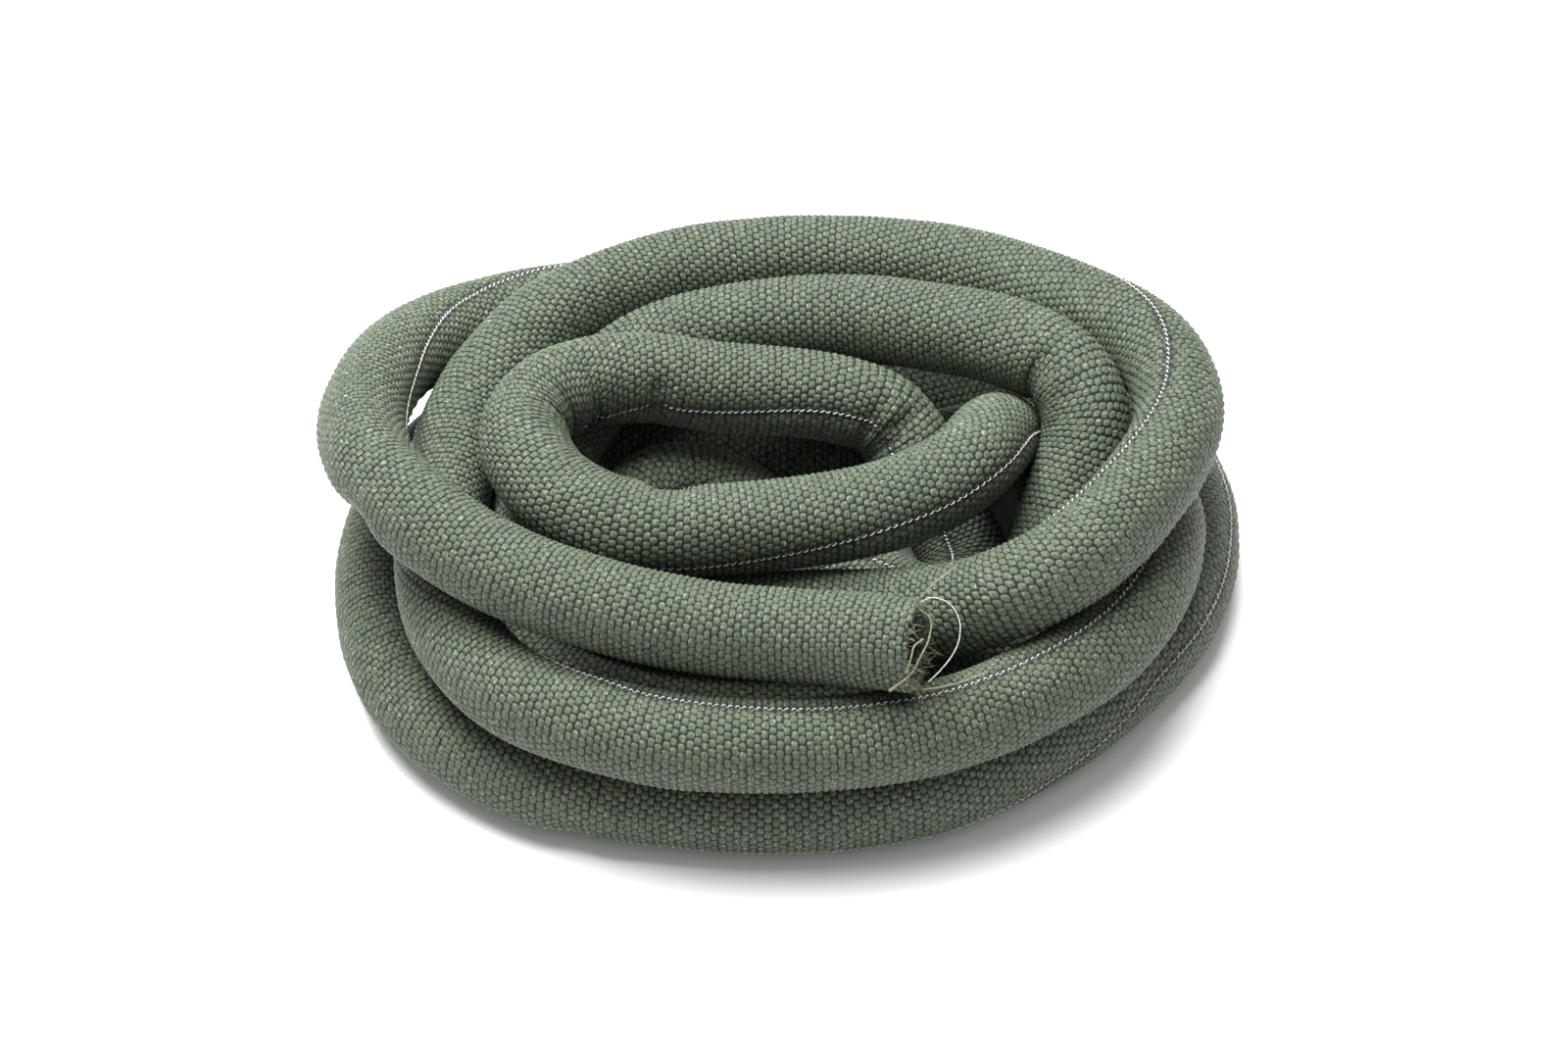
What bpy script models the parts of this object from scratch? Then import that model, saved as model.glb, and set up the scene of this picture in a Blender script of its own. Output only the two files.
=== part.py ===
"""Soaker hose: a woven textile hose lying in a loose heap of turns, three layers high.

The hose is one continuous woven tube, cut square and left open at both ends. A monofilament
lock thread runs along its seam, and a few yarns have frayed out at the cut end on top.
Units are metres, +Z is up, and the heap stands on z = 0.
"""

import math

import bpy
import numpy as np
from mathutils import Vector

# Driving sizes
HOSE_WIDTH = 0.022
TURN_GAP = 0.001
WALL = 0.0016
LOCK_THREAD = 0.0006
YARN = 0.0006

# The lock thread lies under the hose's outline by this much, so that turns rest on each other
THREAD_COVER = 0.0009
SEAM_DIP = LOCK_THREAD + THREAD_COVER

# Turns that touch lie one pitch apart, and the route is written in pitches
PITCH = HOSE_WIDTH + TURN_GAP

# The loose threads' points grow and shrink with the hose
LOOSE_UNIT = HOSE_WIDTH / 22

# Surface quality
HOSE_SIDES = 12
LONGEST_STEP = 1.2
MOST_TURN = math.radians(16)
END_STEP = 0.35

# How the turns press each other apart
SETTLE_SPACING = 0.3
SETTLE_ROUNDS = 260
SAME_BEND = 2.4

# The hose's way through the heap, from the cut end on top inward, in pitches: x to the right,
# y to the back, z up
ROUTE = [
    # across the front, on top
    (1.12, -2.62, 2.29), (0.60, -2.50, 2.23), (0.00, -2.42, 2.20), (-0.60, -2.34, 2.20),
    (-1.40, -2.16, 2.23), (-2.20, -1.88, 2.26), (-2.95, -1.50, 2.32), (-3.62, -0.92, 2.38),
    (-4.05, -0.28, 2.36),
    # round the left side, falling
    (-4.22, 0.50, 2.22), (-4.14, 1.20, 2.06), (-3.92, 1.88, 1.86), (-3.54, 2.48, 1.62),
    (-3.00, 3.02, 1.38), (-2.40, 3.42, 1.20), (-1.70, 3.75, 1.02),
    # along the back, down to the ground, and round the right side
    (-0.70, 4.10, 0.72), (0.40, 4.22, 0.55), (1.60, 4.02, 0.50), (2.75, 3.50, 0.50),
    (3.65, 2.70, 0.50), (4.15, 1.70, 0.50),
    # the outer turn on the ground
    (4.25, 0.60, 0.50), (4.05, -0.45, 0.50), (3.55, -1.28, 0.50), (2.80, -2.12, 0.50),
    (1.60, -2.90, 0.50), (0.10, -3.16, 0.50), (-1.34, -3.03, 0.50), (-2.40, -2.78, 0.50),
    (-3.28, -2.22, 0.50), (-3.90, -1.40, 0.50), (-4.22, -0.20, 0.50), (-4.18, 0.80, 0.50),
    (-3.95, 1.60, 0.50), (-3.45, 2.30, 0.50), (-2.75, 2.80, 0.50),
    # the second turn at the back, climbing on the right
    (-1.90, 3.10, 0.50), (-0.70, 3.22, 0.50), (0.50, 3.18, 0.50), (1.60, 2.96, 0.50),
    (2.45, 2.55, 0.50), (3.10, 1.95, 0.62), (3.50, 1.25, 0.98),
    # across the front, on the turn below
    (3.78, 0.45, 1.36), (3.84, -0.30, 1.46), (3.72, -0.95, 1.46), (3.30, -1.76, 1.46),
    (2.40, -2.54, 1.46), (1.50, -2.98, 1.46), (0.10, -3.20, 1.46), (-1.34, -3.06, 1.46),
    (-2.65, -2.42, 1.45), (-3.22, -1.50, 1.43), (-3.36, -0.50, 1.42),
    # up the left side and over the back
    (-3.28, 0.45, 1.44), (-3.14, 1.20, 1.50), (-2.80, 1.85, 1.60), (-2.30, 2.48, 1.70),
    (-1.60, 3.00, 1.76), (-0.85, 3.32, 1.82), (0.12, 3.45, 1.88), (1.15, 3.35, 1.95),
    (2.08, 2.98, 2.07), (2.92, 2.32, 2.20), (3.38, 1.85, 2.26), (3.68, 1.38, 2.30),
    (3.90, 0.74, 2.32),
    # down the right side and under the cut end
    (3.93, 0.20, 2.34), (3.66, -0.60, 2.36), (3.02, -1.50, 2.28), (2.42, -1.78, 2.08),
    (1.90, -1.74, 1.82), (1.35, -1.60, 1.60), (0.60, -1.47, 1.50), (-0.50, -1.34, 1.40),
    (-1.40, -1.10, 1.34),
    # up again at the left, and over the back
    (-2.05, -0.68, 1.26), (-2.46, -0.05, 1.18), (-2.58, 0.70, 1.18), (-2.50, 1.35, 1.34),
    (-2.24, 1.90, 1.56), (-1.80, 2.28, 1.76), (-1.30, 2.50, 1.90), (-0.37, 2.55, 2.06),
    (0.64, 2.50, 2.13), (1.55, 2.25, 2.17), (2.42, 1.84, 2.22), (2.86, 1.52, 2.18),
    # down the right side to the ground
    (3.10, 1.18, 2.02), (3.12, 0.80, 1.76), (3.00, 0.40, 1.46), (2.86, -0.05, 1.16),
    (2.66, -0.60, 0.86), (2.30, -1.20, 0.64),
    # the inner turn on the ground
    (1.65, -1.58, 0.50), (0.80, -1.80, 0.50), (-0.30, -1.84, 0.50), (-1.40, -1.70, 0.50),
    (-2.30, -1.32, 0.50), (-2.92, -0.66, 0.50), (-3.15, 0.15, 0.50), (-3.02, 1.05, 0.50),
    (-2.55, 1.75, 0.50), (-1.80, 2.08, 0.50), (-0.95, 2.02, 0.50), (0.30, 1.88, 0.50),
    (1.40, 1.86, 0.50), (2.14, 1.84, 0.62),
    # the curl up and over, on to the innermost turn on top
    (2.62, 1.58, 0.98), (2.76, 1.14, 1.42), (2.68, 0.62, 1.88), (2.36, -0.04, 2.20),
    (1.84, -0.48, 2.26), (1.22, -0.76, 2.28), (0.66, -0.88, 2.28), (-0.38, -1.00, 2.28),
    (-1.01, -1.00, 2.28), (-1.60, -0.86, 2.28), (-2.12, -0.52, 2.28), (-2.48, 0.00, 2.28),
    (-2.60, 0.48, 2.25), (-2.50, 0.92, 2.22), (-2.20, 1.28, 2.20), (-1.75, 1.50, 2.14),
    (-1.30, 1.58, 2.10), (-0.45, 1.60, 1.98), (0.54, 1.58, 1.94), (1.06, 1.54, 1.88),
    (1.46, 1.46, 1.76),
    # down inside the heap to the inner end
    (1.82, 1.20, 1.44), (2.04, 0.90, 1.02), (2.28, 0.52, 0.66), (2.30, 0.06, 0.50),
    (1.96, -0.28, 0.50), (1.42, -0.14, 0.50), (0.82, 0.30, 0.50), (0.14, 0.70, 0.58),
    (-0.28, 0.95, 0.72), (-0.84, 1.10, 0.95), (-1.38, 0.98, 1.06), (-1.74, 0.60, 1.02),
    (-1.84, 0.16, 0.92),
]

# Where the seam sits round the hose: (number of the route point, degrees from the top of the
# hose toward the inside of the heap)
SEAM = [
    (0, 140), (6, 115), (9, 85), (10, 75), (11, 50), (12, 20), (13, -5), (14, -25), (18, -40),
    (24, -60), (26, -130), (31, -130), (36, -90), (41, -40), (45, 0), (49, 4), (50, 10), (51, 24),
    (52, 54), (53, 82), (55, 115), (58, 164), (60, 204), (62, 256), (64, 308), (66, 354), (67, 376),
    (69, 400), (72, 455), (80, 510), (86, 560), (92, 570), (104, 600), (109, 650), (112, 653),
    (114, 648), (115, 638), (116, 624), (118, 606), (120, 570), (122, 510), (123, 480), (124.6, 452),
    (125.8, 446), (127, 428), (129, 422), (131, 406), (133, 380), (136, 350), (139, 316), (142, 290),
]

# What has come loose at the cut end, from the middle of the end: to the right, to the back, up,
# in millimetres for a hose 22 mm wide
THREAD_TAIL = [
    (0.9, 6.9, 7.2), (3.4, 7.6, 8.0), (7.4, 6.8, 7.0), (9.8, 4.0, 4.4), (9.8, 0.8, 1.2),
    (8.2, -1.8, -1.4), (5.4, -4.4, -3.8), (2.6, -6.4, -5.6),
]
YARNS = {
    "frayed_yarn_long": [
        (0.8, 5.4, 6.6), (3.2, 3.6, 4.8), (2.8, -0.6, 3.2), (0.9, -7.2, 4.6), (-1.6, -10.6, 1.8),
        (-6.6, -12.4, -2.2),
    ],
    "frayed_yarn_near": [
        (0.8, -5.6, 8.0), (1.0, -7.0, 9.2), (-0.8, -8.4, 8.8), (-1.6, -10.2, 6.8), (-2.6, -11.8, 3.4),
    ],
    "frayed_yarn_low": [
        (1.2, -7.0, -7.4), (5.4, -6.6, -7.0), (10.6, -5.4, -6.4), (16.0, -3.8, -5.2),
    ],
    "frayed_yarn_upright": [
        (1.0, 7.4, 8.2), (2.8, 8.8, 9.8), (5.2, 10.0, 11.6), (9.4, 12.2, 14.0),
    ],
}


def make_material(name, colour, roughness, transmission):
    material = bpy.data.materials.new(name)
    material.use_nodes = True
    shader = material.node_tree.nodes["Principled BSDF"]
    shader.inputs["Base Color"].default_value = (*colour, 1.0)
    shader.inputs["Roughness"].default_value = roughness
    shader.inputs["Transmission Weight"].default_value = transmission
    return material


def smooth_curve(points, per_span):
    """Points on a centripetal Catmull-Rom curve, and where each lies among the knots."""
    knots = [np.array(point, float) for point in points]
    knots = [2 * knots[0] - knots[1], *knots, 2 * knots[-1] - knots[-2]]
    curve = []
    for a, b, c, d in zip(knots, knots[1:], knots[2:], knots[3:]):
        at_b = np.linalg.norm(b - a) ** 0.5
        at_c = at_b + np.linalg.norm(c - b) ** 0.5
        at_d = at_c + np.linalg.norm(d - c) ** 0.5
        for at in np.linspace(at_b, at_c, per_span, endpoint=False):
            ab = a + at / at_b * (b - a)
            bc = b + (at - at_b) / (at_c - at_b) * (c - b)
            cd = c + (at - at_c) / (at_d - at_c) * (d - c)
            abc = ab + at / at_c * (bc - ab)
            bcd = bc + (at - at_b) / (at_d - at_b) * (cd - bc)
            curve.append(abc + (at - at_b) / (at_c - at_b) * (bcd - abc))
    curve.append(knots[-2])
    return np.array(curve), np.arange(len(curve)) / per_span


def arc_lengths(points):
    steps = np.linalg.norm(np.diff(points, axis=0), axis=1)
    return np.concatenate(([0.0], np.cumsum(steps)))


def read_at(stops, scale, values):
    return np.stack([np.interp(stops, scale, column) for column in values.T], axis=1)


def settled_route():
    """The route's middle line in pitches, after touching turns have pressed apart."""
    curve, knot = smooth_curve(ROUTE, 10)
    length = arc_lengths(curve)
    stops = np.linspace(0.0, length[-1], round(length[-1] / SETTLE_SPACING) + 1)
    home = read_at(stops, length, curve)
    knot = np.interp(stops, length, knot)
    order = np.arange(len(home))
    apart = np.abs(np.subtract.outer(order, order)) * SETTLE_SPACING > SAME_BEND
    ground = HOSE_WIDTH / 2 / PITCH
    points = home.copy()
    for _ in range(SETTLE_ROUNDS):
        between = points[:, None, :] - points[None, :, :]
        distance = np.linalg.norm(between, axis=2) + 1e-9
        overlap = np.where(apart & (distance < 1.0), 1.0 - distance, 0.0)
        push = (between / distance[:, :, None] * overlap[:, :, None]).sum(axis=1)
        touching = np.maximum((overlap > 0).sum(axis=1), 1)
        shift = points + 0.6 * push / touching[:, None] - home
        padded = np.vstack((shift[:1], shift, shift[-1:]))
        points = home + 0.5 * shift + 0.25 * (padded[:-2] + padded[2:])
        points[:, 2] = np.maximum(points[:, 2], ground)
    return points, knot


def ring_places(points, knot):
    """Middles of the hose's rings in pitches: closer in a bend, and straight at both ends."""
    curve, place = smooth_curve(points, 4)
    knot = np.interp(place, np.arange(len(points)), knot)
    steps = np.diff(curve, axis=0)
    lengths = np.linalg.norm(steps, axis=1)
    ahead = steps / lengths[:, None]
    turns = np.arccos(np.clip((ahead[1:] * ahead[:-1]).sum(axis=1), -1.0, 1.0))
    turns = np.concatenate((turns[:1], turns))
    effort = np.hypot(lengths / LONGEST_STEP, turns / MOST_TURN)
    effort = np.concatenate(([0.0], np.cumsum(effort)))
    stops = np.linspace(0.0, effort[-1], math.ceil(effort[-1]) + 1)
    rings = read_at(stops, effort, curve)
    knot = np.interp(stops, effort, knot)
    first = (rings[0] - rings[1]) / np.linalg.norm(rings[0] - rings[1]) * END_STEP
    last = (rings[-1] - rings[-2]) / np.linalg.norm(rings[-1] - rings[-2]) * END_STEP
    rings = np.vstack((rings[0] + first, rings, rings[-1] + last))
    knot = np.concatenate((knot[:1], knot, knot[-1:]))
    return rings, knot


def centred(points):
    """The same points in metres, with the heap's middle over the origin."""
    middle = (points.min(axis=0) + points.max(axis=0)) / 2
    middle[2] = 0.0
    return (points - middle) * PITCH


def seam_places(rings, angles, radius):
    """Points at one radius from the hose's middle line, along its seam."""
    steps = np.diff(rings, axis=0)
    steps /= np.linalg.norm(steps, axis=1)[:, None]
    ahead = np.vstack((steps[:1], steps[:-1] + steps[1:], steps[-1:]))
    places = []
    for ring, way, angle in zip(rings, ahead, angles):
        way = Vector(way).normalized()
        inward = way.cross(Vector((0, 0, 1))).normalized()
        above = inward.cross(way)
        out = above * math.cos(angle) + inward * math.sin(angle)
        places.append(Vector(ring) + out * radius)
    return places


def make_curve(name, points, material, collection):
    curve = bpy.data.curves.new(name, "CURVE")
    curve.dimensions = "3D"
    curve.twist_mode = "Z_UP"
    curve.use_fill_caps = True
    spline = curve.splines.new("POLY")
    spline.points.add(len(points) - 1)
    for place, point in zip(spline.points, points):
        place.co = (*point, 1.0)
    spline.use_smooth = True
    curve.materials.append(material)
    made = bpy.data.objects.new(name, curve)
    collection.objects.link(made)
    return made


def make_profile(collection):
    """The hose's section: round, with one point drawn in for the seam."""
    curve = bpy.data.curves.new("hose_section", "CURVE")
    curve.dimensions = "2D"
    spline = curve.splines.new("POLY")
    spline.points.add(HOSE_SIDES - 1)
    for side, place in enumerate(spline.points):
        angle = -2 * math.pi * side / HOSE_SIDES
        radius = HOSE_WIDTH / 2 - (SEAM_DIP if side == 0 else 0.0)
        place.co = (radius * math.cos(angle), radius * math.sin(angle), 0.0, 1.0)
    spline.use_cyclic_u = True
    profile = bpy.data.objects.new("hose_section", curve)
    profile.hide_render = True
    profile.display_type = "WIRE"
    collection.objects.link(profile)
    return profile


def make_jacket(rings, angles, material, collection, tools):
    """The woven tube: the section carried along the rings, then given its wall inward."""
    path = make_curve("jacket_path", rings, material, tools)
    path.data.use_fill_caps = False
    path.data.bevel_mode = "OBJECT"
    path.data.bevel_object = make_profile(tools)
    for place, angle in zip(path.data.splines[0].points, angles):
        place.tilt = angle - math.pi / 2
    bpy.context.view_layer.update()
    ready = path.evaluated_get(bpy.context.evaluated_depsgraph_get())
    mesh = bpy.data.meshes.new_from_object(ready)
    mesh.name = "woven_jacket"
    bpy.data.objects.remove(path)
    mesh.shade_smooth()
    jacket = bpy.data.objects.new("woven_jacket", mesh)
    collection.objects.link(jacket)
    wall = jacket.modifiers.new("wall", "SOLIDIFY")
    wall.thickness = WALL / math.cos(math.pi / HOSE_SIDES)
    wall.offset = -1.0
    wall.use_even_offset = False
    return jacket


def make_thread(name, points, width, material, collection):
    thread = make_curve(name, points, material, collection)
    thread.data.bevel_depth = width / 2
    thread.data.bevel_resolution = 2
    return thread


def loose_points(end, points):
    """A loose thread's own points, counted from the hose's end, as a smooth line."""
    curve, _ = smooth_curve(points, 4)
    return [Vector(end) + Vector(point) * LOOSE_UNIT for point in curve]


def build():
    for old in list(bpy.data.objects):
        bpy.data.objects.remove(old)
    scene = bpy.context.scene.collection
    parts = bpy.data.collections.new("soaker_hose")
    tools = bpy.data.collections.new("tools")
    scene.children.link(parts)
    scene.children.link(tools)
    tools.hide_render = True

    textile = make_material("olive_textile", (0.16, 0.20, 0.15), 0.8, 0.0)
    yarn = make_material("olive_yarn", (0.26, 0.26, 0.16), 0.8, 0.0)
    nylon = make_material("clear_nylon", (0.85, 0.86, 0.84), 0.35, 0.3)

    rings, knot = ring_places(*settled_route())
    rings = centred(rings)
    seam_points, seam_degrees = zip(*SEAM)
    angles = np.radians(np.interp(knot, seam_points, seam_degrees))

    make_jacket(rings, angles, textile, parts, tools)
    in_seam = HOSE_WIDTH / 2 - LOCK_THREAD / 2
    lock_thread = seam_places(rings, angles, in_seam)
    make_thread("lock_thread", lock_thread, LOCK_THREAD, nylon, parts)
    make_thread("lock_thread_tail", loose_points(rings[0], THREAD_TAIL), YARN, nylon, parts)
    for name, points in YARNS.items():
        make_thread(name, loose_points(rings[0], points), YARN, yarn, parts)


build()
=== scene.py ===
"""The soaker hose's looks: the woven tube in its heap, its lock thread, and the frayed cut end."""

import math
from collections import namedtuple

import bpy
import numpy as np
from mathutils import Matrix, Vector


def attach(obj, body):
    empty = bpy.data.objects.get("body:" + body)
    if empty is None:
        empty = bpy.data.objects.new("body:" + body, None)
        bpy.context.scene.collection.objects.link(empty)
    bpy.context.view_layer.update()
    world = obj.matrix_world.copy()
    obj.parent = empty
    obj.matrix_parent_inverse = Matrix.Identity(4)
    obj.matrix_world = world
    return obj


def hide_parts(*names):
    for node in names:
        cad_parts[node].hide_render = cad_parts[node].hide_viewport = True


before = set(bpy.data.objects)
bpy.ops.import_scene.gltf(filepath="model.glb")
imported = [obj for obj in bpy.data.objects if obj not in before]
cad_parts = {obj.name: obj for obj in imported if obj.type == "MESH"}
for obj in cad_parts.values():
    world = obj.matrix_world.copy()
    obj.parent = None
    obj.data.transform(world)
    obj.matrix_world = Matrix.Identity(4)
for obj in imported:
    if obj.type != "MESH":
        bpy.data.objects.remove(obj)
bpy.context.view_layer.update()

MM = 0.001

# Sizes that the part has too
HOSE_WIDTH = 0.022
TURN_GAP = 0.001
WALL = 0.0016
PITCH = HOSE_WIDTH + TURN_GAP

# The weave: columns of beads across the hose, and half beads round it
COLUMN = 1.65 * MM
HALF_BEADS = 62
BEAD_HEIGHT = 0.60 * MM
BEAD_PROUD = 0.20 * MM
BEAD_LENGTH = 0.56
BEAD_WIDTH = 1.06
ROW = COLUMN / 2

# The seam's valley, as wide as this many half beads, and the chain of loops that lies in it
VALLEY_REACH = 1.6
VALLEY_DEPTH = 0.35 * MM
CHAIN_SWAY = 0.26 * MM
CHAIN_LIFT = 0.36 * MM
CHAIN_LEAN = 0.16 * MM
CHAIN_THREAD = 0.17 * MM

# The loose monofilament's half width, and the number of short fibres round the cut
LOOSE_THREAD = 0.13 * MM
FRINGE_FIBRES = 150

# A frayed yarn, in millimetres: its plies' half width, how far they lie from the yarn's own
# line, and the length of one twist
PLIES = 3
PLY_HALF_WIDTH = 0.12
PLY_LAY = 0.09
TWIST_LENGTH = 2.6

# How near the floor the weave and the chain's middle line may come
ON_FLOOR = 0.05 * MM
CHAIN_OFF_FLOOR = 0.25 * MM

# How the turns press each other apart, as in the part
SETTLE_SPACING = 0.3
SETTLE_ROUNDS = 260
SAME_BEND = 2.4

# The straight bit added at each end, in pitches, and the rounds of easing given to the middle
# line and to the seam's angle
END_STEP = 0.35
LINE_EASING = 12
SEAM_EASING = 60

# The hose's way through the heap, from the cut end on top inward, in pitches
ROUTE = [
    # across the front, on top
    (1.12, -2.62, 2.29), (0.60, -2.50, 2.23), (0.00, -2.42, 2.20), (-0.60, -2.34, 2.20),
    (-1.40, -2.16, 2.23), (-2.20, -1.88, 2.26), (-2.95, -1.50, 2.32), (-3.62, -0.92, 2.38),
    (-4.05, -0.28, 2.36),
    # round the left side, falling
    (-4.22, 0.50, 2.22), (-4.14, 1.20, 2.06), (-3.92, 1.88, 1.86), (-3.54, 2.48, 1.62),
    (-3.00, 3.02, 1.38), (-2.40, 3.42, 1.20), (-1.70, 3.75, 1.02),
    # along the back, down to the ground, and round the right side
    (-0.70, 4.10, 0.72), (0.40, 4.22, 0.55), (1.60, 4.02, 0.50), (2.75, 3.50, 0.50),
    (3.65, 2.70, 0.50), (4.15, 1.70, 0.50),
    # the outer turn on the ground
    (4.25, 0.60, 0.50), (4.05, -0.45, 0.50), (3.55, -1.28, 0.50), (2.80, -2.12, 0.50),
    (1.60, -2.90, 0.50), (0.10, -3.16, 0.50), (-1.34, -3.03, 0.50), (-2.40, -2.78, 0.50),
    (-3.28, -2.22, 0.50), (-3.90, -1.40, 0.50), (-4.22, -0.20, 0.50), (-4.18, 0.80, 0.50),
    (-3.95, 1.60, 0.50), (-3.45, 2.30, 0.50), (-2.75, 2.80, 0.50),
    # the second turn at the back, climbing on the right
    (-1.90, 3.10, 0.50), (-0.70, 3.22, 0.50), (0.50, 3.18, 0.50), (1.60, 2.96, 0.50),
    (2.45, 2.55, 0.50), (3.10, 1.95, 0.62), (3.50, 1.25, 0.98),
    # across the front, on the turn below
    (3.78, 0.45, 1.36), (3.84, -0.30, 1.46), (3.72, -0.95, 1.46), (3.30, -1.76, 1.46),
    (2.40, -2.54, 1.46), (1.50, -2.98, 1.46), (0.10, -3.20, 1.46), (-1.34, -3.06, 1.46),
    (-2.65, -2.42, 1.45), (-3.22, -1.50, 1.43), (-3.36, -0.50, 1.42),
    # up the left side and over the back
    (-3.28, 0.45, 1.44), (-3.14, 1.20, 1.50), (-2.80, 1.85, 1.60), (-2.30, 2.48, 1.70),
    (-1.60, 3.00, 1.76), (-0.85, 3.32, 1.82), (0.12, 3.45, 1.88), (1.15, 3.35, 1.95),
    (2.08, 2.98, 2.07), (2.92, 2.32, 2.20), (3.38, 1.85, 2.26), (3.68, 1.38, 2.30),
    (3.90, 0.74, 2.32),
    # down the right side and under the cut end
    (3.93, 0.20, 2.34), (3.66, -0.60, 2.36), (3.02, -1.50, 2.28), (2.42, -1.78, 2.08),
    (1.90, -1.74, 1.82), (1.35, -1.60, 1.60), (0.60, -1.47, 1.50), (-0.50, -1.34, 1.40),
    (-1.40, -1.10, 1.34),
    # up again at the left, and over the back
    (-2.05, -0.68, 1.26), (-2.46, -0.05, 1.18), (-2.58, 0.70, 1.18), (-2.50, 1.35, 1.34),
    (-2.24, 1.90, 1.56), (-1.80, 2.28, 1.76), (-1.30, 2.50, 1.90), (-0.37, 2.55, 2.06),
    (0.64, 2.50, 2.13), (1.55, 2.25, 2.17), (2.42, 1.84, 2.22), (2.86, 1.52, 2.18),
    # down the right side to the ground
    (3.10, 1.18, 2.02), (3.12, 0.80, 1.76), (3.00, 0.40, 1.46), (2.86, -0.05, 1.16),
    (2.66, -0.60, 0.86), (2.30, -1.20, 0.64),
    # the inner turn on the ground
    (1.65, -1.58, 0.50), (0.80, -1.80, 0.50), (-0.30, -1.84, 0.50), (-1.40, -1.70, 0.50),
    (-2.30, -1.32, 0.50), (-2.92, -0.66, 0.50), (-3.15, 0.15, 0.50), (-3.02, 1.05, 0.50),
    (-2.55, 1.75, 0.50), (-1.80, 2.08, 0.50), (-0.95, 2.02, 0.50), (0.30, 1.88, 0.50),
    (1.40, 1.86, 0.50), (2.14, 1.84, 0.62),
    # the curl up and over, on to the innermost turn on top
    (2.62, 1.58, 0.98), (2.76, 1.14, 1.42), (2.68, 0.62, 1.88), (2.36, -0.04, 2.20),
    (1.84, -0.48, 2.26), (1.22, -0.76, 2.28), (0.66, -0.88, 2.28), (-0.38, -1.00, 2.28),
    (-1.01, -1.00, 2.28), (-1.60, -0.86, 2.28), (-2.12, -0.52, 2.28), (-2.48, 0.00, 2.28),
    (-2.60, 0.48, 2.25), (-2.50, 0.92, 2.22), (-2.20, 1.28, 2.20), (-1.75, 1.50, 2.14),
    (-1.30, 1.58, 2.10), (-0.45, 1.60, 1.98), (0.54, 1.58, 1.94), (1.06, 1.54, 1.88),
    (1.46, 1.46, 1.76),
    # down inside the heap to the inner end
    (1.82, 1.20, 1.44), (2.04, 0.90, 1.02), (2.28, 0.52, 0.66), (2.30, 0.06, 0.50),
    (1.96, -0.28, 0.50), (1.42, -0.14, 0.50), (0.82, 0.30, 0.50), (0.14, 0.70, 0.58),
    (-0.28, 0.95, 0.72), (-0.84, 1.10, 0.95), (-1.38, 0.98, 1.06), (-1.74, 0.60, 1.02),
    (-1.84, 0.16, 0.92),
]

# Where the seam sits round the hose: (number of the route point, degrees from the top of the
# hose toward the inside of the heap)
SEAM = [
    (0, 140), (6, 115), (9, 85), (10, 75), (11, 50), (12, 20), (13, -5), (14, -25), (18, -40),
    (24, -60), (26, -130), (31, -130), (36, -90), (41, -40), (45, 0), (49, 4), (50, 10), (51, 24),
    (52, 54), (53, 82), (55, 115), (58, 164), (60, 204), (62, 256), (64, 308), (66, 354), (67, 376),
    (69, 400), (72, 455), (80, 510), (86, 560), (92, 570), (104, 600), (109, 650), (112, 653),
    (114, 648), (115, 638), (116, 624), (118, 606), (120, 570), (122, 510), (123, 480), (124.6, 452),
    (125.8, 446), (127, 428), (129, 422), (131, 406), (133, 380), (136, 350), (139, 316), (142, 290),
]

# Folds pressed into the wall: (route point, degrees as above, depth in mm, half length in mm,
# half width in degrees)
FOLDS = [
    (117.0, 48, 4.0, 4.6, 34),
    (123.4, 75, 3.2, 1.8, 60),
    (122.2, 95, 2.2, 1.7, 50),
    (121.3, 95, 2.0, 1.7, 50),
    (125.1, 80, 2.4, 2.6, 40),
    (128.6, 85, 1.6, 2.0, 50),
    (129.3, 60, 2.4, 2.2, 60),
    (88.0, 85, 3.4, 2.2, 55),
    (7.6, -115, 2.4, 6.0, 40),
    (112.2, 80, 1.6, 3.0, 45),
    (28.6, -125, 1.2, 4.0, 50),
    (81.2, 60, 1.6, 2.0, 50),
]

# What has come loose at the cut end, in millimetres from the middle of the end, as in the part
THREAD_TAIL = [
    (0.9, 6.9, 7.2), (3.4, 7.6, 8.0), (7.4, 6.8, 7.0), (9.8, 4.0, 4.4), (9.8, 0.8, 1.2),
    (8.2, -1.8, -1.4), (5.4, -4.4, -3.8), (2.6, -6.4, -5.6),
]
YARNS = {
    "frayed_yarn_long": [
        (0.8, 5.4, 6.6), (3.2, 3.6, 4.8), (2.8, -0.6, 3.2), (0.9, -7.2, 4.6), (-1.6, -10.6, 1.8),
        (-6.6, -12.4, -2.2),
    ],
    "frayed_yarn_near": [
        (0.8, -5.6, 8.0), (1.0, -7.0, 9.2), (-0.8, -8.4, 8.8), (-1.6, -10.2, 6.8), (-2.6, -11.8, 3.4),
    ],
    "frayed_yarn_low": [
        (1.2, -7.0, -7.4), (5.4, -6.6, -7.0), (10.6, -5.4, -6.4), (16.0, -3.8, -5.2),
    ],
    "frayed_yarn_upright": [
        (1.0, 7.4, 8.2), (2.8, 8.8, 9.8), (5.2, 10.0, 11.6), (9.4, 12.2, 14.0),
    ],
}


# The hose's middle line: places in metres, route numbers, directions along, up and inward, the
# seam's angle, and the lengths from the cut end
HoseLine = namedtuple("HoseLine", "points knot ahead above inward seam stops")


# ---------------------------------------------------------------- camera, floor and light

CAMERA_TILT = math.radians(45)
CAMERA_DISTANCE = 47 * PITCH
CAMERA_AIM = Vector((-0.0002, -0.0007, 0.9 * PITCH))


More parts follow.
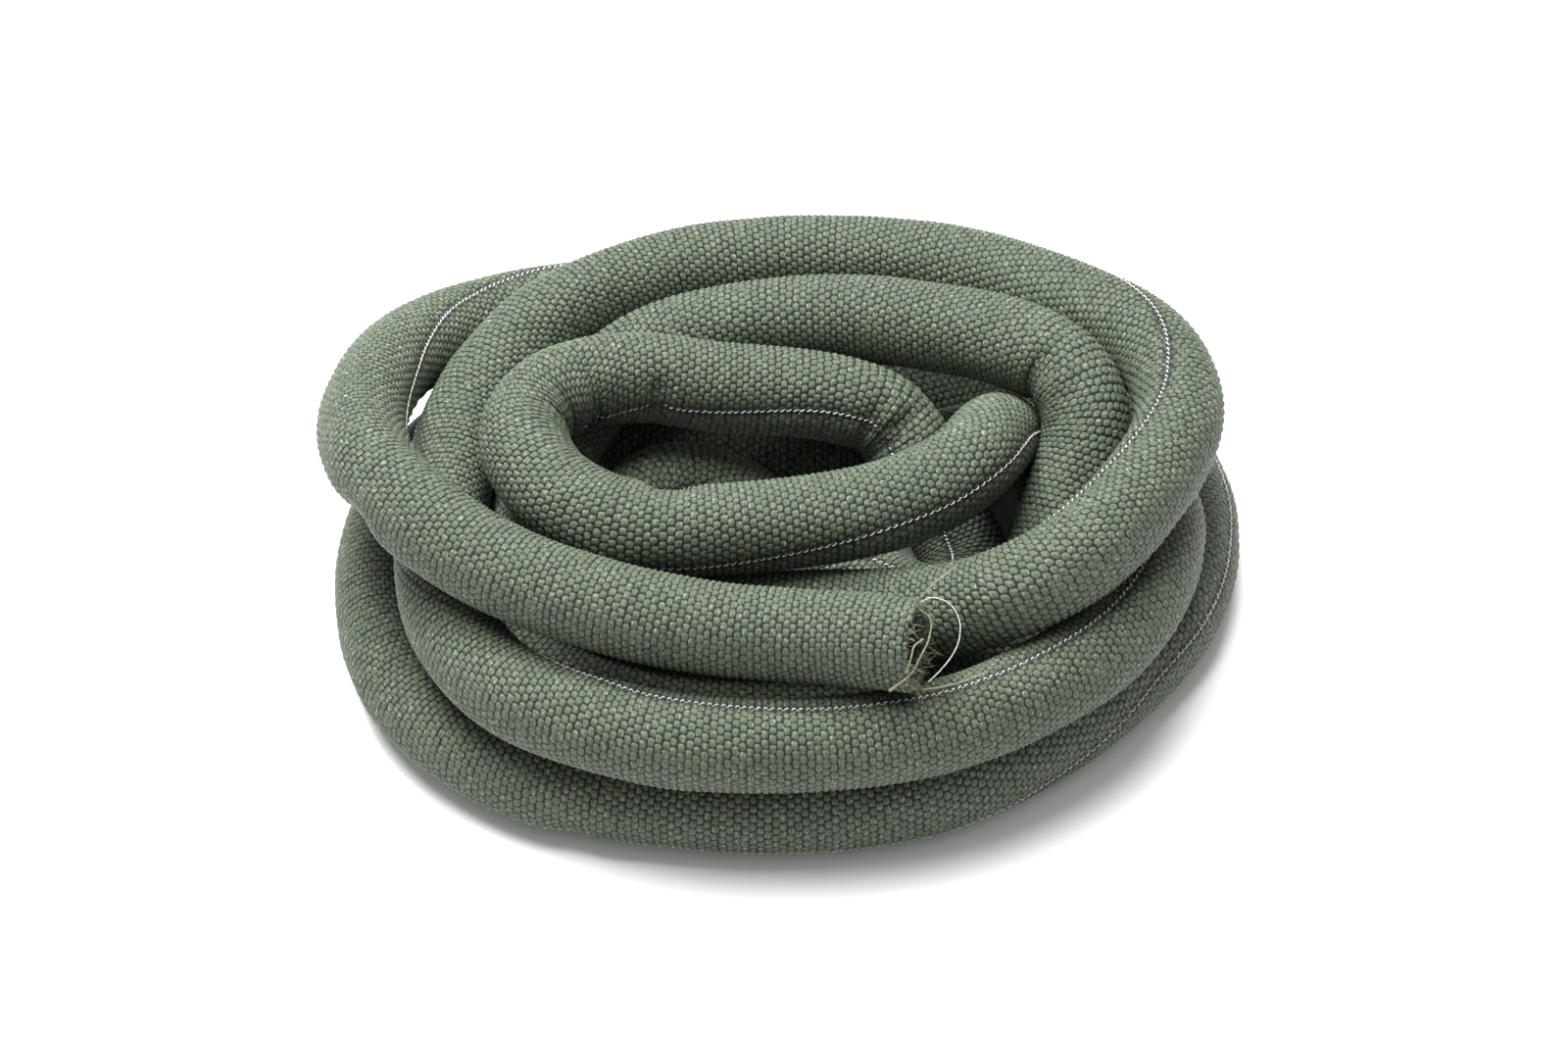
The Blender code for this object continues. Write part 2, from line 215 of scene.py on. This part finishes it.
def add_camera():
    data = bpy.data.cameras.new("camera")
    data.lens = 100
    data.sensor_width = 36
    data.sensor_fit = "HORIZONTAL"
    data.clip_end = 20
    camera = bpy.data.objects.new("camera", data)
    bpy.context.scene.collection.objects.link(camera)
    back = Vector((0, -math.cos(CAMERA_TILT), math.sin(CAMERA_TILT)))
    camera.location = CAMERA_AIM + back * CAMERA_DISTANCE
    camera.rotation_euler = (math.pi / 2 - CAMERA_TILT, 0, 0)
    bpy.context.scene.camera = camera


def add_light(name, place, aim, size, power):
    data = bpy.data.lights.new(name, "AREA")
    data.shape = "DISK"
    data.size = size
    data.energy = power
    light = bpy.data.objects.new(name, data)
    bpy.context.scene.collection.objects.link(light)
    light.location = place
    light.rotation_euler = (Vector(aim) - Vector(place)).to_track_quat("-Z", "Y").to_euler()


def add_studio():
    world = bpy.data.worlds.new("studio")
    world.use_nodes = True
    world.node_tree.nodes["Background"].inputs["Color"].default_value = (1, 1, 1, 1)
    world.node_tree.nodes["Background"].inputs["Strength"].default_value = 0.52
    bpy.context.scene.world = world
    add_light("softbox", (-0.22, 0.30, 1.20), (0, 0, 0), 1.1, 42)
    add_light("key", (-0.45, 0.55, 1.00), (0, 0, 0.03), 0.22, 9)
    bpy.ops.mesh.primitive_plane_add(size=12)
    floor = bpy.context.object
    floor.name = "floor"
    material = bpy.data.materials.new("floor")
    material.use_nodes = True
    shader = material.node_tree.nodes["Principled BSDF"]
    shader.inputs["Base Color"].default_value = (0.93, 0.93, 0.93, 1)
    shader.inputs["Roughness"].default_value = 0.9
    floor.data.materials.append(material)
    bpy.context.scene.view_settings.view_transform = "Standard"


# ---------------------------------------------------------------- the hose's line


def smooth_curve(points, per_span):
    """Points on a centripetal Catmull-Rom curve, and where each lies among the knots."""
    knots = [np.array(point, float) for point in points]
    knots = [2 * knots[0] - knots[1], *knots, 2 * knots[-1] - knots[-2]]
    curve = []
    for a, b, c, d in zip(knots, knots[1:], knots[2:], knots[3:]):
        at_b = np.linalg.norm(b - a) ** 0.5
        at_c = at_b + np.linalg.norm(c - b) ** 0.5
        at_d = at_c + np.linalg.norm(d - c) ** 0.5
        for at in np.linspace(at_b, at_c, per_span, endpoint=False):
            ab = a + at / at_b * (b - a)
            bc = b + (at - at_b) / (at_c - at_b) * (c - b)
            cd = c + (at - at_c) / (at_d - at_c) * (d - c)
            abc = ab + at / at_c * (bc - ab)
            bcd = bc + (at - at_b) / (at_d - at_b) * (cd - bc)
            curve.append(abc + (at - at_b) / (at_c - at_b) * (bcd - abc))
    curve.append(knots[-2])
    return np.array(curve), np.arange(len(curve)) / per_span


def arc_lengths(points):
    steps = np.linalg.norm(np.diff(points, axis=0), axis=1)
    return np.concatenate(([0.0], np.cumsum(steps)))


def read_at(stops, scale, values):
    return np.stack([np.interp(stops, scale, column) for column in values.T], axis=1)


def settled_route():
    """The route's middle line in pitches, after touching turns have pressed apart."""
    curve, knot = smooth_curve(ROUTE, 10)
    length = arc_lengths(curve)
    stops = np.linspace(0.0, length[-1], round(length[-1] / SETTLE_SPACING) + 1)
    home = read_at(stops, length, curve)
    knot = np.interp(stops, length, knot)
    order = np.arange(len(home))
    apart = np.abs(np.subtract.outer(order, order)) * SETTLE_SPACING > SAME_BEND
    ground = HOSE_WIDTH / 2 / PITCH
    points = home.copy()
    for _ in range(SETTLE_ROUNDS):
        between = points[:, None, :] - points[None, :, :]
        distance = np.linalg.norm(between, axis=2) + 1e-9
        overlap = np.where(apart & (distance < 1.0), 1.0 - distance, 0.0)
        push = (between / distance[:, :, None] * overlap[:, :, None]).sum(axis=1)
        touching = np.maximum((overlap > 0).sum(axis=1), 1)
        shift = points + 0.6 * push / touching[:, None] - home
        padded = np.vstack((shift[:1], shift, shift[-1:]))
        points = home + 0.5 * shift + 0.25 * (padded[:-2] + padded[2:])
        points[:, 2] = np.maximum(points[:, 2], ground)
    return points, knot


def eased(values, rounds):
    """The same rows, each drawn toward its neighbours, with the ends kept."""
    values = values.copy()
    for _ in range(rounds):
        values[1:-1] = 0.5 * values[1:-1] + 0.25 * (values[:-2] + values[2:])
    return values


def hose_line():
    """The hose's line, with a place at every half column of the weave."""
    points, knot = settled_route()
    curve, place = smooth_curve(points, 8)
    knot = np.interp(place, np.arange(len(points)), knot)
    curve = eased(curve, LINE_EASING)
    first = (curve[0] - curve[4]) / np.linalg.norm(curve[0] - curve[4]) * END_STEP
    last = (curve[-1] - curve[-5]) / np.linalg.norm(curve[-1] - curve[-5]) * END_STEP
    curve = np.vstack((curve[0] + first, curve, curve[-1] + last))
    knot = np.concatenate((knot[:1], knot, knot[-1:]))
    middle = (curve.min(axis=0) + curve.max(axis=0)) / 2
    middle[2] = 0.0
    curve = (curve - middle) * PITCH
    length = arc_lengths(curve)
    rows = round(length[-1] / ROW)
    stops = np.linspace(0.0, length[-1], rows + 1)
    line = read_at(stops, length, curve)
    knot = np.interp(stops, length, knot)
    ahead = np.gradient(line, axis=0)
    ahead /= np.linalg.norm(ahead, axis=1)[:, None]
    inward = np.cross(ahead, [0.0, 0.0, 1.0])
    inward /= np.linalg.norm(inward, axis=1)[:, None]
    above = np.cross(inward, ahead)
    seam_points, seam_degrees = zip(*SEAM)
    seam = np.radians(eased(np.interp(knot, seam_points, seam_degrees), SEAM_EASING))
    return HoseLine(line, knot, ahead, above, inward, seam, stops)


# ---------------------------------------------------------------- meshes


def mesh_from(name, points, faces, material, uvs=None):
    """A smooth object from arrays: faces are quads, and uvs maps a layer's name to corners."""
    mesh = bpy.data.meshes.new(name)
    mesh.vertices.add(len(points))
    mesh.vertices.foreach_set("co", points.astype(np.float32).ravel())
    mesh.loops.add(faces.size)
    mesh.loops.foreach_set("vertex_index", faces.astype(np.int32).ravel())
    mesh.polygons.add(len(faces))
    starts = np.arange(0, faces.size, faces.shape[1], dtype=np.int32)
    mesh.polygons.foreach_set("loop_start", starts)
    mesh.update(calc_edges=True)
    for layer, corners in (uvs or {}).items():
        made = mesh.uv_layers.new(name=layer)
        made.data.foreach_set("uv", corners.astype(np.float32).ravel())
    mesh.polygons.foreach_set("use_smooth", np.ones(len(faces), dtype=bool))
    mesh.materials.append(material)
    mesh.validate()
    mesh.update()
    made = bpy.data.objects.new(name, mesh)
    bpy.context.scene.collection.objects.link(made)
    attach(made, "root")
    return made


def grid_faces(rows, around, first=0, flip=False):
    """Quads of a tube's side, from rows of points that each go once round."""
    row, column = np.meshgrid(np.arange(rows - 1), np.arange(around), indexing="ij")
    row, column = row.ravel(), column.ravel()
    beside = (column + 1) % around
    quads = np.stack(
        [row * around + column, row * around + beside,
         (row + 1) * around + beside, (row + 1) * around + column], axis=1,
    )
    if flip:
        quads = quads[:, ::-1]
    return quads + first, row, column


def tube_points(points, radii, sides):
    """Points of a thin tube round a line."""
    ahead = np.gradient(points, axis=0)
    ahead /= np.linalg.norm(ahead, axis=1)[:, None] + 1e-12
    side = np.cross(ahead, [0.31, 0.52, 0.79])
    side /= np.linalg.norm(side, axis=1)[:, None] + 1e-12
    over = np.cross(ahead, side)
    angles = np.arange(sides) / sides * 2 * math.pi
    ring = (np.cos(angles)[None, :, None] * side[:, None, :]
            + np.sin(angles)[None, :, None] * over[:, None, :])
    return (points[:, None, :] + ring * np.asarray(radii).reshape(-1, 1, 1)).reshape(-1, 3)


def tubes_object(name, lines, material, sides=6):
    """One object of several thin tubes, each a line of points and its radii, narrowed to a tip."""
    points, faces, count = [], [], 0
    for line, radii in lines:
        radii = np.broadcast_to(radii, len(line)).copy()
        radii[0] = radii[-1] = 0.01 * MM
        made = tube_points(line, radii, sides)
        quads, _, _ = grid_faces(len(line), sides, count)
        points.append(made)
        faces.append(quads)
        count += len(made)
    return mesh_from(name, np.vstack(points), np.vstack(faces), material)


def bead_height(column, half):
    """How high the weave stands at this place, from 0 between beads to 1 on a bead."""
    nearest = np.floor(column + 0.5)
    along = (column - nearest) / BEAD_LENGTH
    across = (((half + nearest) / 2 + 0.5) % 1.0 * 2 - 1) / BEAD_WIDTH
    return np.sqrt(np.maximum(0.0, 1 - along ** 2 - across ** 2))


def wavering(stops, rng, lengths, size):
    """A slow random variation along the hose."""
    total = np.zeros(len(stops))
    for length in lengths:
        total += np.sin(stops / length * 2 * math.pi + rng.uniform(0, 2 * math.pi))
    return total * size / len(lengths)


def hose_radii(line_data, rng):
    """The outer radius at each row and half bead: round, a little uneven, folded and woven."""
    stops = line_data.stops
    rows = len(stops)
    half = np.arange(HALF_BEADS)
    angle = half / HALF_BEADS * 2 * math.pi
    place = line_data.seam[:, None] + angle[None, :]
    radius = np.full((rows, HALF_BEADS), HOSE_WIDTH / 2 + BEAD_PROUD)
    oval = wavering(stops, rng, (0.21, 0.13, 0.083), 0.35 * MM)
    lean = wavering(stops, rng, (0.34, 0.19), 1.5)
    radius += oval[:, None] * np.cos(2 * (place + lean[:, None]))
    for repeat in (3, 4, 5):
        dent = wavering(stops, rng, (0.09, 0.057, 0.041), 0.16 * MM)
        lean = wavering(stops, rng, (0.27, 0.16), 2.0)
        radius += dent[:, None] * np.cos(repeat * (place + lean[:, None]))
    for at, degrees, depth, reach, width in FOLDS:
        centre = np.interp(at, line_data.knot, stops)
        around = (place - math.radians(degrees) + math.pi) % (2 * math.pi) - math.pi
        along = np.exp(-(((stops - centre) / (reach * MM)) ** 2))
        across = np.exp(-((around / math.radians(width)) ** 2))
        radius -= depth * MM * along[:, None] * across
    column = np.arange(rows) / 2
    woven = bead_height(column[:, None], half[None, :].astype(float))
    from_seam = np.minimum(half, HALF_BEADS - half)
    valley = np.exp(-((from_seam / VALLEY_REACH) ** 2)) * VALLEY_DEPTH
    return radius - BEAD_HEIGHT * (1 - woven) - valley[None, :]


def build_hose(line_data, material):
    """The woven tube, hollow and ragged at both ends, and its outer radii."""
    line, ahead = line_data.points, line_data.ahead
    rng = np.random.default_rng(7)
    radius = hose_radii(line_data, rng)
    rows = len(line)
    angle = line_data.seam[:, None] + np.arange(HALF_BEADS)[None, :] / HALF_BEADS * 2 * math.pi
    out = (np.cos(angle)[:, :, None] * line_data.above[:, None, :]
           + np.sin(angle)[:, :, None] * line_data.inward[:, None, :])
    outer = line[:, None, :] + out * radius[:, :, None]
    ragged = rng.uniform(-0.5, 0.9, HALF_BEADS) * MM
    outer[0] -= ahead[0] * ragged[:, None]
    outer[-1] += ahead[-1] * ragged[:, None]
    outer[:, :, 2] = np.maximum(outer[:, :, 2], ON_FLOOR)

    # Only the bore's first stretch can be seen, so the rest has few rows
    picked = np.unique(np.concatenate((np.arange(0, 80, 2), np.arange(80, rows, 16), [rows - 1])))
    bore = HOSE_WIDTH / 2 - WALL
    ribs = 0.12 * MM * np.cos(np.arange(HALF_BEADS) * math.pi)
    inner = line[picked][:, None, :] + out[picked] * (bore + ribs)[None, :, None]
    inner[0] -= ahead[0] * (ragged + rng.uniform(-0.5, 0.1, HALF_BEADS) * MM)[:, None]

    sides, row, column = grid_faces(rows, HALF_BEADS)
    bore_sides, bore_row, bore_column = grid_faces(
        len(picked), HALF_BEADS, rows * HALF_BEADS, flip=True)
    around = np.arange(HALF_BEADS)
    beside = (around + 1) % HALF_BEADS
    first_inner = rows * HALF_BEADS
    last_outer = (rows - 1) * HALF_BEADS
    last_inner = first_inner + (len(picked) - 1) * HALF_BEADS
    front_rim = np.stack([around, first_inner + around, first_inner + beside, beside], axis=1)
    back_rim = np.stack([last_outer + around, last_outer + beside,
                         last_inner + beside, last_inner + around], axis=1)
    faces = np.vstack((sides, bore_sides, front_rim, back_rim))
    points = np.vstack((outer.reshape(-1, 3), inner.reshape(-1, 3)))

    # The weave's own map counts columns along the hose and half beads round it. The map for
    # baking lays the outside in strips, one above another, with the bore and the rims at its top.
    corner_row = np.stack([row, row, row + 1, row + 1], axis=1)
    corner_half = np.stack([column, column + 1, column + 1, column], axis=1)
    weave = np.stack([corner_row / 2, corner_half], axis=2).astype(float)
    strips = 6
    per_strip = math.ceil((rows - 1) / strips)
    strip = row // per_strip
    bake_u = 0.01 + 0.98 * (corner_row - strip[:, None] * per_strip) / per_strip
    bake_v = 0.005 + (strip[:, None] + 0.96 * corner_half / HALF_BEADS) * 0.15
    bake = np.stack([bake_u, bake_v], axis=2)

    bore_corners = np.stack([bore_row, bore_row, bore_row + 1, bore_row + 1], axis=1)
    bore_row_at = picked[bore_corners][:, ::-1]
    bore_half = np.stack([bore_column, bore_column + 1, bore_column + 1, bore_column], axis=1)
    bore_half = bore_half[:, ::-1]
    bore_weave = np.stack([bore_row_at / 2, bore_half], axis=2).astype(float)
    bore_bake = np.stack([0.01 + 0.98 * bore_row_at / rows,
                          0.91 + 0.06 * bore_half / HALF_BEADS], axis=2)
    rim_half = np.stack([around, around, around + 1, around + 1], axis=1)
    rim_weave = np.stack([np.full_like(rim_half, 0.4, dtype=float), rim_half * 1.0], axis=2)
    rim_bake = np.stack([0.01 + 0.9 * rim_half / HALF_BEADS,
                         np.broadcast_to([0.98, 0.985, 0.985, 0.98], rim_half.shape)], axis=2)
    uvs = {
        "OFBake": np.concatenate((bake, bore_bake, rim_bake, rim_bake)),
        "weave": np.concatenate((weave, bore_weave, rim_weave, rim_weave)),
    }
    hose = mesh_from("woven_hose", points, faces, material, uvs)
    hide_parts("woven_jacket")
    return hose, radius


def build_lock_thread(line_data, radius, material):
    """The seam's chain of small loops, one to a column of the weave."""
    rows = np.arange(len(line_data.points))
    fine = np.arange(2, len(rows) - 3, 0.4)
    middle = read_at(fine, rows, line_data.points)
    forward = read_at(fine, rows, line_data.ahead)
    up = read_at(fine, rows, line_data.above)
    across = read_at(fine, rows, line_data.inward)
    turn = np.interp(fine, rows, line_data.seam)
    height = np.interp(fine, rows, eased(radius[:, 0], 4))
    out = np.cos(turn)[:, None] * up + np.sin(turn)[:, None] * across
    aside = np.cross(out, forward)
    phase = fine / 2 * 2 * math.pi
    sway = CHAIN_SWAY * np.sin(phase)
    lift = height + CHAIN_LIFT * np.cos(phase)
    back = CHAIN_LEAN * np.sin(2 * phase)
    points = middle + out * lift[:, None] + aside * sway[:, None] + forward * back[:, None]
    points[:, 2] = np.maximum(points[:, 2], CHAIN_OFF_FLOOR)
    thread = tubes_object("lock_chain", [(points, CHAIN_THREAD)], material, sides=5)
    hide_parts("lock_thread")
    return thread


def spun_yarn(points, end, rng):
    """Lines of a yarn's plies, twisted round its own line, ending in a small tuft."""
    curve, _ = smooth_curve(points, 14)
    length = arc_lengths(curve)
    stops = np.linspace(0, length[-1], max(12, round(length[-1] / 0.12)))
    curve = read_at(stops, length, curve)
    forward = np.gradient(curve, axis=0)
    forward /= np.linalg.norm(forward, axis=1)[:, None]
    side = np.cross(forward, [0.2, 0.3, 0.93])
    side /= np.linalg.norm(side, axis=1)[:, None]
    over = np.cross(forward, side)
    lines = []
    for ply in range(PLIES):
        turn = stops * 2 * math.pi / TWIST_LENGTH + ply * 2 * math.pi / PLIES
        open_up = PLY_LAY * (1 + 2.2 * np.clip((stops / length[-1] - 0.85) / 0.15, 0, 1) ** 2)
        waver = wavering(stops, rng, (3.1, 1.7), 0.05)
        outward = np.cos(turn)[:, None] * side + np.sin(turn)[:, None] * over
        offset = (open_up + waver)[:, None] * outward
        lines.append((end + (curve + offset) * MM, PLY_HALF_WIDTH * MM))
    return lines


def stray_fibre(start, aim, length, rng):
    """One short fibre that wanders off and thins toward its tip."""
    wide = rng.uniform(0.05, 0.12) * MM
    count = 9
    steps = np.linspace(0, 1, count)[:, None]
    bend = rng.normal(0, 0.35, 3) * length
    curl = rng.normal(0, 0.12, 3) * length
    line = start + aim * length * steps + bend * steps ** 2 + curl * np.sin(steps * 5)
    return line, wide * (1 - 0.5 * steps[:, 0])


def build_loose_ends(line_data, materials):
    """The loose monofilament, the frayed yarns, and the fringe of fibres round the cut."""
    end, ahead = line_data.points[0], line_data.ahead[0]
    above, inward = line_data.above[0], line_data.inward[0]
    rng = np.random.default_rng(21)
    made = []
    curve, _ = smooth_curve(THREAD_TAIL, 10)
    tail_line = end + curve * MM
    tail = tubes_object("loose_nylon", [(tail_line, LOOSE_THREAD)], materials["nylon"], sides=10)
    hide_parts("lock_thread_tail")
    made.append(tail)
    for name, points in YARNS.items():
        yarn = tubes_object("visual_" + name, spun_yarn(points, end, rng), materials["yarn"])
        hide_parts(name)
        made.append(yarn)
    fibres = []
    for _ in range(FRINGE_FIBRES):
        angle = rng.uniform(0, 2 * math.pi)
        out = math.cos(angle) * above + math.sin(angle) * inward
        start = end + out * (HOSE_WIDTH / 2 - rng.uniform(0.2, 1.5) * MM) + ahead * 0.6 * MM
        aim = -ahead + out * rng.uniform(-0.6, 0.5) + rng.normal(0, 0.25, 3)
        aim /= np.linalg.norm(aim)
        length = rng.uniform(1.0, 3.2) * MM
        fibres.append(stray_fibre(start, aim, length, rng))
    fringe = tubes_object("cut_fringe", fibres, materials["yarn"], sides=4)
    made.append(fringe)
    return made


# ---------------------------------------------------------------- materials


class Tree:
    """Small helper that adds and links a material's nodes."""

    def __init__(self, name):
        self.material = bpy.data.materials.new(name)
        self.material.use_nodes = True
        self.nodes = self.material.node_tree.nodes
        self.links = self.material.node_tree.links
        self.shader = self.nodes["Principled BSDF"]

    def put(self, socket, value):
        if isinstance(value, bpy.types.NodeSocket):
            self.links.new(value, socket)
        else:
            socket.default_value = value

    def math(self, operation, *values):
        node = self.nodes.new("ShaderNodeMath")
        node.operation = operation
        for socket, value in zip(node.inputs, values):
            self.put(socket, value)
        return node.outputs[0]

    def noise(self, vector, scale, detail=3.0, roughness=0.5):
        node = self.nodes.new("ShaderNodeTexNoise")
        self.put(node.inputs["Vector"], vector)
        node.inputs["Scale"].default_value = scale
        node.inputs["Detail"].default_value = detail
        node.inputs["Roughness"].default_value = roughness
        return node.outputs["Fac"]

    def white(self, x, y):
        join = self.nodes.new("ShaderNodeCombineXYZ")
        self.put(join.inputs[0], x)
        self.put(join.inputs[1], y)
        node = self.nodes.new("ShaderNodeTexWhiteNoise")
        node.noise_dimensions = "2D"
        self.links.new(join.outputs[0], node.inputs["Vector"])
        return node.outputs["Value"]

    def spread(self, value, low, high, to_low=0.0, to_high=1.0):
        node = self.nodes.new("ShaderNodeMapRange")
        node.interpolation_type = "SMOOTHSTEP"
        for socket, given in zip(node.inputs, (value, low, high, to_low, to_high)):
            self.put(socket, given)
        return node.outputs[0]

    def mix(self, amount, first, second, kind="MIX"):
        node = self.nodes.new("ShaderNodeMix")
        node.data_type = "RGBA"
        node.blend_type = kind
        self.put(node.inputs["Factor"], amount)
        self.put(node.inputs[6], first)
        self.put(node.inputs[7], second)
        return node.outputs[2]

    def combine(self, x, y, z):
        join = self.nodes.new("ShaderNodeCombineXYZ")
        for socket, value in zip(join.inputs, (x, y, z)):
            self.put(socket, value)
        return join.outputs[0]

    def scaled(self, x, by_x, y, by_y, z, by_z):
        x = self.math("MULTIPLY", x, by_x)
        y = self.math("MULTIPLY", y, by_y)
        z = self.math("MULTIPLY", z, by_z)
        return self.combine(x, y, z)


def woven_material():
    """Olive plain weave: one bead to each crossing, its fibres and faded patches, painted shade in
    the gaps and the seam's valley, and painted glints of highlight.
    """
    tree = Tree("woven_olive")
    uv = tree.nodes.new("ShaderNodeUVMap")
    uv.uv_map = "weave"
    split = tree.nodes.new("ShaderNodeSeparateXYZ")
    tree.links.new(uv.outputs[0], split.inputs[0])
    column, half = split.outputs[0], split.outputs[1]
    coords = tree.nodes.new("ShaderNodeTexCoord").outputs["Object"]

    # The rows of beads wander a little
    stray = tree.noise(tree.combine(column, half, 0.0), 0.55, 1.0)
    stray = tree.math("SUBTRACT", stray, 0.5)
    column = tree.math("ADD", column, tree.math("MULTIPLY", stray, 0.30))
    half = tree.math("ADD", half, tree.math("MULTIPLY", stray, 0.45))

    # Each bead has a number of its own, a small shift, and a rounded height from its middle
    nearest = tree.math("FLOOR", tree.math("ADD", column, 0.5))
    pair = tree.math("ADD", tree.math("DIVIDE", tree.math("ADD", half, nearest), 2.0), 0.5)
    bead = tree.math("FLOOR", pair)
    own = tree.white(nearest, bead)
    shift = tree.math("MULTIPLY", tree.math("SUBTRACT", tree.white(bead, nearest), 0.5), 0.22)
    plump = tree.spread(own, 0.0, 1.0, 0.86, 1.08)
    middle = tree.math("ADD", nearest, shift)
    along = tree.math("DIVIDE", tree.math("SUBTRACT", column, middle), BEAD_LENGTH)
    across = tree.math("SUBTRACT", tree.math("MULTIPLY", tree.math("FRACT", pair), 2.0), 1.0)
    across = tree.math("DIVIDE", across, BEAD_WIDTH)
    along2 = tree.math("POWER", tree.math("ABSOLUTE", along), 2.6)
    across2 = tree.math("POWER", tree.math("ABSOLUTE", across), 2.4)
    fall = tree.math("SUBTRACT", plump, tree.math("ADD", along2, across2))
    height = tree.math("SQRT", tree.math("MAXIMUM", fall, 0.0))

    # Yarns differ a little in colour, and their fibres and glossy streaks run round the hose
    warp = tree.math("SUBTRACT", tree.math("MULTIPLY", bead, 2.0), nearest)
    by_warp = tree.white(warp, 3.5)
    by_column = tree.white(nearest, 7.5)
    fibre_space = tree.scaled(column, 7.0, half, 1.1, own, 9.0)
    fibre = tree.noise(fibre_space, 1.0, 3.0, 0.65)
    patches = tree.noise(coords, 30.0, 3.0, 0.55)
    streak_space = tree.scaled(column, 6.0, half, 0.8, own, 31.0)
    streak = tree.noise(streak_space, 1.0, 2.0, 0.6)

    green = (0.078, 0.104, 0.064, 1)
    teal = (0.066, 0.094, 0.069, 1)
    straw = (0.104, 0.118, 0.068, 1)
    # The near-black colour below is painted shade, put in the gaps between beads and in the seam's
    # valley
    painted_hollow_shade = (0.004, 0.006, 0.004, 1)
    colour = tree.mix(tree.spread(by_warp, 0.3, 0.95, 0.0, 0.7), green, teal)
    colour = tree.mix(tree.spread(own, 0.6, 1.0, 0.0, 0.4), colour, straw)
    colour = tree.mix(tree.spread(by_column, 0.6, 1.0, 0.0, 0.25), colour, straw)
    colour = tree.mix(tree.spread(patches, 0.35, 0.7, 0.0, 0.45), colour, (0.096, 0.120, 0.082, 1))
    shade = tree.spread(fibre, 0.25, 0.75, 0.46, 1.40)
    colour = tree.mix(1.0, colour, tree.combine(shade, shade, shade), "MULTIPLY")
    # Painted shade: the colour falls toward near black where the bead height falls, between the beads
    colour = tree.mix(tree.spread(height, 0.12, 0.66), painted_hollow_shade, colour)
    # Painted shade along the seam's valley: the colour turns toward near black near the seam
    seam_side = tree.math("ABSOLUTE", tree.math("SUBTRACT", half, HALF_BEADS / 2))
    seam_valley_shade = tree.spread(seam_side, HALF_BEADS / 2 - 2.2, HALF_BEADS / 2 - 0.4, 0.0, 0.75)
    colour = tree.mix(seam_valley_shade, colour, painted_hollow_shade)
    # Painted highlight: whitish glints mixed into the colour on the bead tops, which also lower the
    # roughness there
    gloss_and_painted_glint = tree.math("MULTIPLY", tree.spread(streak, 0.58, 0.70), tree.spread(height, 0.4, 0.8))
    colour = tree.mix(tree.math("MULTIPLY", gloss_and_painted_glint, 0.55), colour, (0.46, 0.50, 0.43, 1))
    tree.links.new(colour, tree.shader.inputs["Base Color"])
    tree.links.new(tree.spread(gloss_and_painted_glint, 0.0, 1.0, 0.58, 0.30), tree.shader.inputs["Roughness"])
    tree.shader.inputs["Specular IOR Level"].default_value = 0.42
    tree.shader.inputs["Sheen Weight"].default_value = 0.03
    tree.shader.inputs["Sheen Roughness"].default_value = 0.4

    relief = tree.math("ADD", height, tree.math("MULTIPLY", fibre, 0.5))
    bump = tree.nodes.new("ShaderNodeBump")
    bump.inputs["Strength"].default_value = 1.0
    bump.inputs["Distance"].default_value = 0.75 * MM
    tree.links.new(relief, bump.inputs["Height"])
    tree.links.new(bump.outputs[0], tree.shader.inputs["Normal"])
    return tree.material


def nylon_material():
    """Clear to milky monofilament, a little uneven."""
    tree = Tree("clear_nylon_look")
    coords = tree.nodes.new("ShaderNodeTexCoord").outputs["Object"]
    cloud = tree.noise(coords, 700.0, 2.0)
    colour = tree.mix(tree.spread(cloud, 0.3, 0.7), (0.62, 0.64, 0.60, 1), (0.90, 0.91, 0.88, 1))
    tree.links.new(colour, tree.shader.inputs["Base Color"])
    tree.links.new(tree.spread(cloud, 0.3, 0.7, 0.18, 0.34), tree.shader.inputs["Roughness"])
    tree.shader.inputs["IOR"].default_value = 1.53
    tree.shader.inputs["Transmission Weight"].default_value = 0.25
    tree.shader.inputs["Specular IOR Level"].default_value = 0.7
    return tree.material


def yarn_material():
    """Dull spun olive yarn with paler fibres."""
    tree = Tree("frayed_olive")
    coords = tree.nodes.new("ShaderNodeTexCoord").outputs["Object"]
    fibre = tree.noise(coords, 2600.0, 3.0, 0.6)
    slow = tree.noise(coords, 300.0, 2.0)
    colour = tree.mix(tree.spread(fibre, 0.3, 0.7), (0.11, 0.12, 0.07, 1), (0.26, 0.27, 0.16, 1))
    colour = tree.mix(tree.spread(slow, 0.4, 0.7, 0.0, 0.4), colour, (0.34, 0.34, 0.24, 1))
    tree.links.new(colour, tree.shader.inputs["Base Color"])
    tree.shader.inputs["Roughness"].default_value = 0.72
    tree.shader.inputs["Sheen Weight"].default_value = 0.25
    bump = tree.nodes.new("ShaderNodeBump")
    bump.inputs["Strength"].default_value = 0.4
    bump.inputs["Distance"].default_value = 0.05 * MM
    tree.links.new(fibre, bump.inputs["Height"])
    tree.links.new(bump.outputs[0], tree.shader.inputs["Normal"])
    return tree.material


# ---------------------------------------------------------------- the whole scene

add_camera()
line_data = hose_line()
hose, radius = build_hose(line_data, woven_material())
materials = {"nylon": nylon_material(), "yarn": yarn_material()}
chain = build_lock_thread(line_data, radius, materials["nylon"])
loose = build_loose_ends(line_data, materials)
add_studio()
